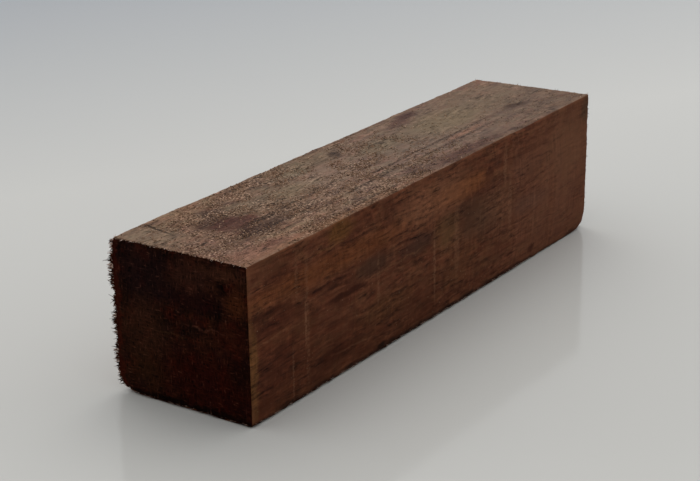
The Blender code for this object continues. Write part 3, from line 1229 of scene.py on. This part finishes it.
@dataclass
class SawnBlock:
    """The block itself: a box that is divided finely, crowded to its arrises, and sawn."""

    blank: Blank
    length_cells: tuple[int, int] = (5, 58)
    cross_cells: tuple[int, int] = (1, 70)
    arris_cells: int = 9
    arris_band: float = 2.9 * MM
    arris_growth: float = 1.15
    wear_reach: float = 0.75 * MM
    wear_cover: float = 0.42
    wear_patch: float = 4.0 * MM
    smooth_angle: float = 40.0

    def build(self) -> bpy.types.Object:
        """Model the block.

        Returns:
            Its object.
        """
        deselect_all()
        bpy.ops.mesh.primitive_cube_add(size=2.0)
        block = named("sawn_block")
        bpy.ops.object.mode_set(mode="EDIT")
        bpy.ops.transform.resize(value=tuple(self.blank.half), center_override=(0.0, 0.0, 0.0))
        for axis, stages in enumerate((self.length_cells, self.cross_cells, self.cross_cells)):
            for parts in stages:
                self.divide(block, axis, parts)
        bpy.ops.object.mode_set(mode="OBJECT")
        self.assign_cuts(block)
        self.saw(block)
        bpy.ops.object.shade_smooth_by_angle(angle=math.radians(self.smooth_angle))
        return block

    def divide(self, block: bpy.types.Object, axis: int, parts: int) -> None:
        """Split every edge that runs along an axis into equal parts.

        Args:
            block: The block, in edit mode.
            axis: 0, 1 or 2 for X, Y or Z.
            parts: How many parts each edge becomes.
        """
        if parts < 2:
            return
        bpy.ops.mesh.select_mode(type="EDGE")
        bpy.ops.mesh.select_all(action="DESELECT")
        mesh = bmesh.from_edit_mesh(block.data)
        for edge in mesh.edges:
            run = edge.verts[1].co - edge.verts[0].co
            edge.select = abs(run[axis]) > PARALLEL * run.length
        bmesh.update_edit_mesh(block.data)
        bpy.ops.mesh.subdivide(number_cuts=parts - 1)

    def assign_cuts(self, block: bpy.types.Object) -> None:
        """Give each face of the box the place in the material list of the way it was cut.

        Args:
            block: The divided box.
        """
        cuts = {Face.TOP: Cut.RESAWN, Face.NEAR: Cut.CROSSCUT, Face.FAR: Cut.CROSSCUT}
        normals = np.zeros(len(block.data.polygons) * 3)
        block.data.polygons.foreach_get("normal", normals)
        normals = normals.reshape(-1, 3)
        places = np.full(len(normals), Cut.RIPPED.value, dtype=np.int32)
        for face, cut in cuts.items():
            axis, sign = face.value
            places[normals[:, axis] * sign > PARALLEL] = cut.value
        block.data.polygons.foreach_set("material_index", places)

    def crowded(self, place: float, half: float, cells: int) -> float:
        """Move an evenly spaced place along an axis, so that cells are fine at the arrises and even between.

        Args:
            place: Where it is, from -half to half.
            half: Half the side's length.
            cells: How many cells the side has.

        Returns:
            Where it goes.
        """
        from_arris = (1 - abs(place) / half) * cells / 2
        if from_arris < self.arris_cells:
            growth = self.arris_growth
            inset = self.arris_band * (growth**from_arris - 1) / (growth**self.arris_cells - 1)
        else:
            step = (half - self.arris_band) / (cells / 2 - self.arris_cells)
            inset = self.arris_band + (from_arris - self.arris_cells) * step
        return math.copysign(half - inset, place)

    def saw(self, block: bpy.types.Object) -> None:
        """Move every vertex to the sawn surface, and keep how worn its arris is.

        Args:
            block: The divided box.
        """
        half = self.blank.half
        cells = [math.prod(self.length_cells), math.prod(self.cross_cells), math.prod(self.cross_cells)]
        wear = block.data.attributes.new("arris_wear", "FLOAT", "POINT")
        for vert in block.data.vertices:
            point = Vector([self.crowded(vert.co[k], half[k], cells[k]) for k in range(3)])
            insets = sorted(half[k] - abs(point[k]) for k in range(3))
            patch = max(0.5 + noise.noise(point / self.wear_patch), 0.0)
            wear.data[vert.index].value = self.wear_cover * bump(insets[1], self.wear_reach) * patch
            vert.co = self.blank.sawn(point)

    def dress(self, block: bpy.types.Object) -> None:
        """Give the block the finishes of its three cuts, in the order of Cut.

        Args:
            block: The sawn block.
        """
        for finish in (DustyTop(), ScoredSide(), EndGrain()):
            block.data.materials.append(finish.material(self.blank))


def corner_lists(mesh: bpy.types.Mesh) -> list[list[int]]:
    """List the corners of a mesh's faces in an order that doesn't hang on how the operators made them.

    Args:
        mesh: The mesh.

    Returns:
        The corners of each face, from its lowest on, in rising order.
    """
    lists = []
    for face in mesh.polygons:
        corners = list(face.vertices)
        first = corners.index(min(corners))
        lists.append(corners[first:] + corners[:first])
    return sorted(lists)


@dataclass
class Shreds:
    """Many copies of a few small modelled shapes in one mesh, each with its own place, turn and shade."""

    name: str
    points: list = field(default_factory=list)
    faces: list = field(default_factory=list)
    shades: list = field(default_factory=list)

    def add(self, model: bpy.types.Object, place: Matrix, shade: float) -> None:
        """Copy a modelled shape.

        Args:
            model: The shape.
            place: Its place, turn and size.
            shade: Its shade, from 0, dark, to 1, pale.
        """
        start = len(self.points)
        self.points.extend(place @ vert.co for vert in model.data.vertices)
        self.faces.extend([start + k for k in corners] for corners in corner_lists(model.data))
        self.shades.extend([shade] * len(model.data.vertices))

    def build(self) -> bpy.types.Object:
        """Gather the copies.

        Returns:
            The object that holds them all.
        """
        mesh = bpy.data.meshes.new(self.name)
        mesh.from_pydata(self.points, [], self.faces)
        mesh.attributes.new("shade", "FLOAT", "POINT").data.foreach_set("value", self.shades)
        item = bpy.data.objects.new(self.name, mesh)
        bpy.context.scene.collection.objects.link(item)
        return item


def turned(heading: Vector, roll: float) -> Matrix:
    """Return the turn that brings +Z to a heading, after a roll about +Z."""
    turn = Vector((0.0, 0.0, 1.0)).rotation_difference(heading.normalized()).to_matrix().to_4x4()
    return turn @ Matrix.Rotation(roll, 4, "Z")


def sized(width: float, breadth: float, length: float) -> Matrix:
    """Return the matrix that scales by a size along each axis."""
    return Matrix.Diagonal((width, breadth, length, 1.0))


@dataclass(frozen=True)
class FrayedArris:
    """An arris that the saw left frayed. Its ends are points of the plain box, in halves of its sides.

    Fields are its two ends, the mean heading of its fibres and how far they stray from it, and in millimetres
    how far apart they are and the least and greatest length and radius of a fibre.
    """

    start: Triple
    end: Triple
    heading: Triple
    stray: float
    pitch: float
    length: Pair
    radius: Pair


class FibrePath(Enum):
    """How a fibre bends: where it has got to sideways and along, step by step from its root."""

    STRAIGHT = ((0.0, 0.30), (0.2, 0.55), (0.3, 0.80), (0.5, 1.0))
    BENT = ((0.1, 0.30), (0.4, 0.55), (0.9, 0.80), (1.7, 1.0))
    CURLED = ((0.2, 0.25), (0.8, 0.50), (1.7, 0.72), (2.7, 0.88), (3.7, 0.97))
    HOOKED = ((0.0, 0.25), (0.1, 0.50), (0.4, 0.72), (1.2, 0.88), (2.8, 0.97), (4.8, 1.0))


@dataclass(frozen=True)
class LooseFibre:
    """One long fibre of the frayed near arris.

    Fields are how high it grows, its heading, its length and radius, in millimetres, its path and its roll.
    """

    height: float
    heading: Triple
    length: float
    radius: float
    path: FibrePath
    roll: float = 0.0


FRAYED_ARRISES = (
    FrayedArris((-1, 1, -0.92), (-1, 1, 1), (-0.3, 1, -0.1), 0.45, 0.15, (0.3, 0.9), (0.15, 0.32)),
    FrayedArris((-1, 1, -0.92), (-1, 1, 1), (-0.35, 1, -0.1), 0.6, 0.24, (0.5, 1.05), (0.05, 0.14)),
    FrayedArris((-0.985, 1, -0.9), (-0.985, 1, 1), (-0.2, 1, 0), 0.6, 0.35, (0.3, 0.8), (0.06, 0.18)),
    FrayedArris((-1, 0.97, -0.93), (-1, 0.86, -0.97), (-0.3, 1, 0.05), 0.4, 0.12, (0.25, 0.7), (0.1, 0.22)),
    FrayedArris((-1, -1, 1), (-1, 1, 1), (-1, 0, 0.25), 0.6, 0.3, (0.15, 0.5), (0.06, 0.2)),
    FrayedArris((-1, -0.95, -0.97), (-1, 0.85, -0.97), (-1, 0, 0.15), 0.3, 0.26, (0.2, 0.65), (0.06, 0.17)),
    FrayedArris((-1, -1, -0.97), (0.6, -1, -0.97), (0, -1, 0.15), 0.3, 0.3, (0.2, 0.65), (0.07, 0.19)),
    FrayedArris((1, 1, -0.9), (1, 1, 1), (0.6, 1, 0), 0.5, 0.9, (0.3, 0.8), (0.06, 0.18)),
    FrayedArris((1, -1, -0.8), (1, -1, 1), (0.6, -1, 0), 0.5, 1.2, (0.2, 0.5), (0.06, 0.14)),
    FrayedArris((1, -1, 1), (1, 1, 1), (1, 0, 0.25), 0.6, 0.9, (0.2, 0.6), (0.06, 0.16)),
    FrayedArris((1, -0.8, -0.97), (1, 0.9, -0.97), (1, 0, 0.15), 0.3, 1, (0.2, 0.5), (0.05, 0.14)),
)

LOOSE_FIBRES = (
    LooseFibre(31.1, (-0.55, 0.83, 0.03), 2.2, 0.18, FibrePath.HOOKED, 1.57),
    LooseFibre(22.3, (-0.5, 0.8, 0.45), 1.5, 0.13, FibrePath.BENT, 0.4),
    LooseFibre(21.6, (-0.5, 0.8, -0.4), 1.4, 0.12, FibrePath.BENT, 2.2),
    LooseFibre(17.1, (-0.4, 0.9, -0.05), 1.7, 0.15, FibrePath.STRAIGHT),
    LooseFibre(14.7, (-0.5, 0.8, 0.25), 1.3, 0.16, FibrePath.BENT, 1),
    LooseFibre(14.2, (-0.3, 0.9, -0.2), 1.2, 0.13, FibrePath.STRAIGHT),
    LooseFibre(12.4, (-0.5, 0.9, 0.1), 1.4, 0.14, FibrePath.CURLED, 1.6),
    LooseFibre(10.4, (-0.4, 0.9, 0.2), 1.4, 0.15, FibrePath.BENT, 3),
    LooseFibre(9.9, (-0.4, 0.9, -0.35), 1.3, 0.12, FibrePath.STRAIGHT),
    LooseFibre(27.4, (-0.5, 0.9, 0.15), 1.2, 0.12, FibrePath.CURLED, 0.5),
    LooseFibre(29.5, (-0.4, 0.9, -0.15), 1.1, 0.12, FibrePath.STRAIGHT),
    LooseFibre(5.8, (-0.5, 0.9, 0), 1.2, 0.12, FibrePath.BENT, 2),
)


@dataclass
class TornFibres:
    """The fringe of torn fibres that the saw left along the arrises."""

    blank: Blank
    arrises: tuple[FrayedArris, ...] = FRAYED_ARRISES
    loose: tuple[LooseFibre, ...] = LOOSE_FIBRES
    seed: int = 5
    sides: int = 4
    sunk: float = 0.25 * MM
    tip: float = 0.15
    tuft_run: float = 2.2 * MM
    tuft_mean: float = 0.95
    tuft_spread: float = 0.9
    loose_shade: Pair = (0.0, 0.4)
    low_share: float = -0.92
    straight_height: float = 1.6 * MM

    def fibre_model(self, path: FibrePath) -> bpy.types.Object:
        """Model one fibre, a unit long and a unit in radius at its root, which thins as it follows its path.

        Args:
            path: How it bends.

        Returns:
            The model.
        """
        deselect_all()
        bpy.ops.mesh.primitive_circle_add(vertices=self.sides, radius=1.0, fill_type="NGON")
        model = named(f"{path.name.lower()}_fibre")
        bpy.ops.object.mode_set(mode="EDIT")
        was = (0.0, 0.0)
        radius = 1.0
        for sideways, along in path.value:
            step = (sideways - was[0], 0.0, along - was[1])
            bpy.ops.mesh.extrude_region_move(TRANSFORM_OT_translate={"value": step})
            thinner = 1 - (1 - self.tip) * along
            shrink = thinner / radius
            bpy.ops.transform.resize(value=(shrink, shrink, 1.0), center_override=(sideways, 0.0, along))
            was = (sideways, along)
            radius = thinner
        bpy.ops.object.mode_set(mode="OBJECT")
        return model

    def build(self) -> bpy.types.Object:
        """Model the fringe.

        Returns:
            The object that holds every fibre.
        """
        draw = random.Random(self.seed)
        models = {path: self.fibre_model(path) for path in FibrePath}
        kinds = [models[path] for path in (FibrePath.STRAIGHT, FibrePath.BENT, FibrePath.CURLED)]
        fringe = Shreds("torn_fibres")
        for arris in self.arrises:
            for root, heading, length, radius in self.fringe_places(arris, draw):
                place = self.rooted(root, heading, length, radius, draw.uniform(0, 2 * math.pi))
                low = root.z < self.straight_height
                fringe.add(kinds[0] if low else draw.choice(kinds), place, draw.random())
        half = self.blank.half
        for fibre in self.loose:
            root = self.blank.sawn(Vector((-half.x, half.y, fibre.height * MM - half.z)))
            length, radius = fibre.length * MM, fibre.radius * MM
            place = self.rooted(root, Vector(fibre.heading), length, radius, fibre.roll)
            fringe.add(models[fibre.path], place, draw.uniform(*self.loose_shade))
        for model in models.values():
            bpy.data.objects.remove(model)
        return fringe.build()

    def rooted(self, root: Vector, heading: Vector, length: float, radius: float, roll: float) -> Matrix:
        """Plant a fibre's model in the wood.

        Args:
            root: Where it leaves the wood.
            heading: Where it points.
            length: How far it stands out.
            radius: Its radius at the root.
            roll: How far it is turned about itself.

        Returns:
            The matrix that places it.
        """
        heading = heading.normalized()
        sunk = Matrix.Translation(root - heading * self.sunk)
        return sunk @ turned(heading, roll) @ sized(radius, radius, length + self.sunk)

    def fringe_places(
        self, arris: FrayedArris, draw: random.Random
    ) -> Iterator[tuple[Vector, Vector, float, float]]:
        """Place the fibres of an arris.

        Args:
            arris: The frayed arris.
            draw: The source of chance.

        Yields:
            Each fibre's root on the wood, its heading, how far it stands out and its radius.
        """
        half = self.blank.half
        start = Vector([part * side for part, side in zip(arris.start, half)])
        end = Vector([part * side for part, side in zip(arris.end, half)])
        count = round((end - start).length / (arris.pitch * MM))
        for k in range(count):
            on_box = start.lerp(end, (k + draw.random()) / count)
            tuft = self.tuft_mean + self.tuft_spread * noise.noise(on_box / self.tuft_run)
            stray = Vector([draw.uniform(-arris.stray, arris.stray) for _ in range(3)])
            heading = Vector(arris.heading) + stray
            if on_box.z < self.low_share * half.z:
                heading.z = abs(heading.z)
            length = draw.uniform(*arris.length) * MM
            radius = draw.uniform(*arris.radius) * MM
            yield self.blank.sawn(on_box), heading, length * tuft, radius


@dataclass
class CaughtSawdust:
    """Grains of sawdust and short fuzz that the torn surface has caught, on the top."""

    blank: Blank
    seed: int = 17
    top_grains: int = 9400
    size: Pair = (0.08 * MM, 0.19 * MM)
    shapes: int = 4
    stretch: Triple = (1.5, 0.8, 0.7)
    lumpiness: float = 0.35
    lump_scale: float = 1.7
    edge: float = 0.35 * MM
    patch_size: float = 5.0 * MM
    patch_mean: float = 0.35
    patch_spread: float = 1.1
    thin_start: float = 66.0 * MM
    thin_run: float = 44.0 * MM
    thinning: float = 0.92
    tip: float = 0.5
    paling: float = 0.9
    bare: tuple[Spot, ...] = BARE_SPOTS

    def grain_model(self, name: str, seed: int) -> bpy.types.Object:
        """Model one angular grain, a unit in radius.

        Args:
            name: The model's name.
            seed: Which shape it gets.

        Returns:
            The model.
        """
        deselect_all()
        bpy.ops.mesh.primitive_ico_sphere_add(subdivisions=1, radius=1.0)
        model = named(name)
        bpy.ops.object.mode_set(mode="EDIT")
        bpy.ops.transform.resize(value=self.stretch, center_override=(0.0, 0.0, 0.0))
        bpy.ops.object.mode_set(mode="OBJECT")
        for vert in model.data.vertices:
            lump = noise.noise(vert.co * self.lump_scale + Vector((seed, 0.0, 0.0)))
            vert.co *= 1 + self.lumpiness * lump
        return model

    def build(self) -> bpy.types.Object:
        """Scatter the grains.

        Returns:
            The object that holds them all.
        """
        draw = random.Random(self.seed)
        models = [self.grain_model(f"grain_{k}", k) for k in range(self.shapes)]
        dust = Shreds("caught_sawdust")
        blank = self.blank
        placed = 0
        while placed < self.top_grains:
            x = draw.uniform(0.0, 1.0) * blank.length
            y = draw.uniform(self.edge, blank.width - self.edge)
            patch = noise.noise(Vector((x, y, 0.0)) / self.patch_size)
            chance = self.patch_mean + self.patch_spread * patch
            chance *= 1 - self.thinning * smooth((x - self.thin_start) / self.thin_run)
            for spot in self.bare:
                chance *= 1 - spot.covers(x / MM, (blank.width - y) / MM)
            if draw.random() > chance:
                continue
            spin = Matrix.Rotation(draw.uniform(0, 2 * math.pi), 4, "Z")
            tip = Matrix.Rotation(draw.uniform(-self.tip, self.tip), 4, "Y")
            size = draw.uniform(*self.size)
            place = Matrix.Translation(blank.sawn(blank.on_top(x, y))) @ spin @ tip @ sized(size, size, size)
            dust.add(draw.choice(models), place, draw.random() ** self.paling)
            placed += 1
        for model in models:
            bpy.data.objects.remove(model)
        return dust.build()


@dataclass
class Studio:
    """The plain pale table, the soft light and the camera."""

    lens: float = 94.8
    sensor: float = 36.0
    azimuth: float = -55.662
    elevation: float = 20.018
    roll: float = -0.557
    distance: float = 2.9141
    target: Triple = (-0.0666, 0.0102, 0.12055)
    clip_start: float = 0.01
    table_radius: float = 5.0
    table_sides: int = 96
    table_colour: str = "#C7C5C0"
    # Painted shade and reflection: the table's colour turns to this dark blue-grey towards the back.
    table_far_painted_shade_colour: str = "#4B5A6E"
    away_direction: Triple = (0.487, 0.874, 0.0)
    table_painted_shade_fade: Levels = Levels(0.12, 0.55)
    table_roughness: float = 0.10
    table_ior: float = 1.45
    table_gloss: float = 0.07
    key_direction: Triple = (0.65, 0.45, 0.95)
    dome_levels: Levels = Levels(-0.5, 1.0, 1.25, 0.16, soft=True)
    dome_colour: str = "#F2F4F6"
    softbox_distance: float = 2.4
    softbox_size: float = 2.0
    softbox_power: float = 8.0
    softbox_colour: str = "#FFFDF8"

    def build(self, blank: Blank) -> None:
        """Lay the table, hang the lights and place the camera.

        Args:
            blank: The block's sizes, which the camera's place is worked out from.
        """
        self.lay_table()
        self.light()
        self.place_camera(blank)

    def lay_table(self) -> None:
        """Lay a pale, faintly glossy table under the block.

        It darkens and turns bluish towards the back: painted shade and a painted reflection.
        """
        deselect_all()
        radius = self.table_radius
        bpy.ops.mesh.primitive_circle_add(vertices=self.table_sides, radius=radius, fill_type="NGON")
        table = named("table")
        material = bpy.data.materials.new("pale_glazed_table")
        glaze = Drawing(material)
        away = {0: glaze.place, 1: self.away_direction}
        away = glaze.add("VectorMath", away, "Value", operation="DOT_PRODUCT")
        colour = glaze.tinted(linear(self.table_colour), self.table_far_painted_shade_colour, away, self.table_painted_shade_fade)
        settings = {
            "Base Color": colour,
            "Roughness": self.table_roughness,
            "IOR": self.table_ior,
            "Specular IOR Level": self.table_gloss,
        }
        glaze.add("OutputMaterial", {"Surface": glaze.add("BsdfPrincipled", settings)})
        table.data.materials.append(material)

    def light(self) -> None:
        """Light the block with a soft dome, brightest behind and above it, and one large softbox there."""
        world = bpy.data.worlds.new("studio")
        dome = Drawing(world, "Generated")
        key = Vector(self.key_direction).normalized()
        toward_key = dome.add("VectorMath", {0: dome.place, 1: key}, "Value", operation="DOT_PRODUCT")
        glow = {"Color": linear(self.dome_colour), "Strength": dome.shown(toward_key, self.dome_levels)}
        dome.add("OutputWorld", {"Surface": dome.add("Background", glow)})
        bpy.context.scene.world = world
        lamp = bpy.data.lights.new("softbox", "AREA")
        lamp.shape = "SQUARE"
        lamp.size = self.softbox_size
        lamp.energy = self.softbox_power
        lamp.color = linear(self.softbox_colour)[:3]
        holder = bpy.data.objects.new("softbox", lamp)
        holder.location = key * self.softbox_distance
        holder.rotation_euler = (-holder.location).to_track_quat("-Z", "Y").to_euler()
        bpy.context.scene.collection.objects.link(holder)

    def place_camera(self, blank: Blank) -> None:
        """Place the camera that the photograph's view was solved to, in shares of the block's length.

        Args:
            blank: The block's sizes.
        """
        azimuth = math.radians(self.azimuth)
        elevation = math.radians(self.elevation)
        roll = math.radians(self.roll)
        level = math.cos(elevation)
        back = Vector((math.sin(azimuth) * level, -math.cos(azimuth) * level, math.sin(elevation)))
        right = (-back).cross(Vector((0.0, 0.0, 1.0))).normalized()
        up = right.cross(-back)
        turned_right = math.cos(roll) * right + math.sin(roll) * up
        turned_up = -math.sin(roll) * right + math.cos(roll) * up
        matrix = Matrix((turned_right, turned_up, back)).transposed().to_4x4()
        matrix.translation = (Vector(self.target) + back * self.distance) * blank.length
        data = bpy.data.cameras.new("camera")
        data.lens = self.lens
        data.sensor_width = self.sensor
        data.clip_start = self.clip_start
        camera = bpy.data.objects.new("camera", data)
        camera.matrix_world = matrix
        bpy.context.scene.collection.objects.link(camera)
        bpy.context.scene.camera = camera


def triangles(piece: bpy.types.Object) -> int:
    """Return how many triangles a piece has."""
    return sum(len(face.vertices) - 2 for face in piece.data.polygons)


def main() -> None:
    """Build the pieces in order, dress them, and set the scene."""
    logging.basicConfig(level=logging.INFO, format="%(name)s: %(message)s")
    bpy.context.scene.view_settings.view_transform = "Standard"
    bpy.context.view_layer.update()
    blank = Blank()
    block_builder = SawnBlock(blank)
    block = block_builder.build()
    block_builder.dress(block)
    fibres = TornFibres(blank).build()
    fibres.data.materials.append(TornFibreFinish().material(blank))
    sawdust = CaughtSawdust(blank).build()
    sawdust.data.materials.append(SawdustFinish().material(blank))
    for piece in (block, fibres, sawdust):
        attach(piece, BODY)
        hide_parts(NODE)
        LOG.info("%s: %d triangles", piece.name, triangles(piece))
    Studio().build(blank)


if __name__ == "__main__":
    main()
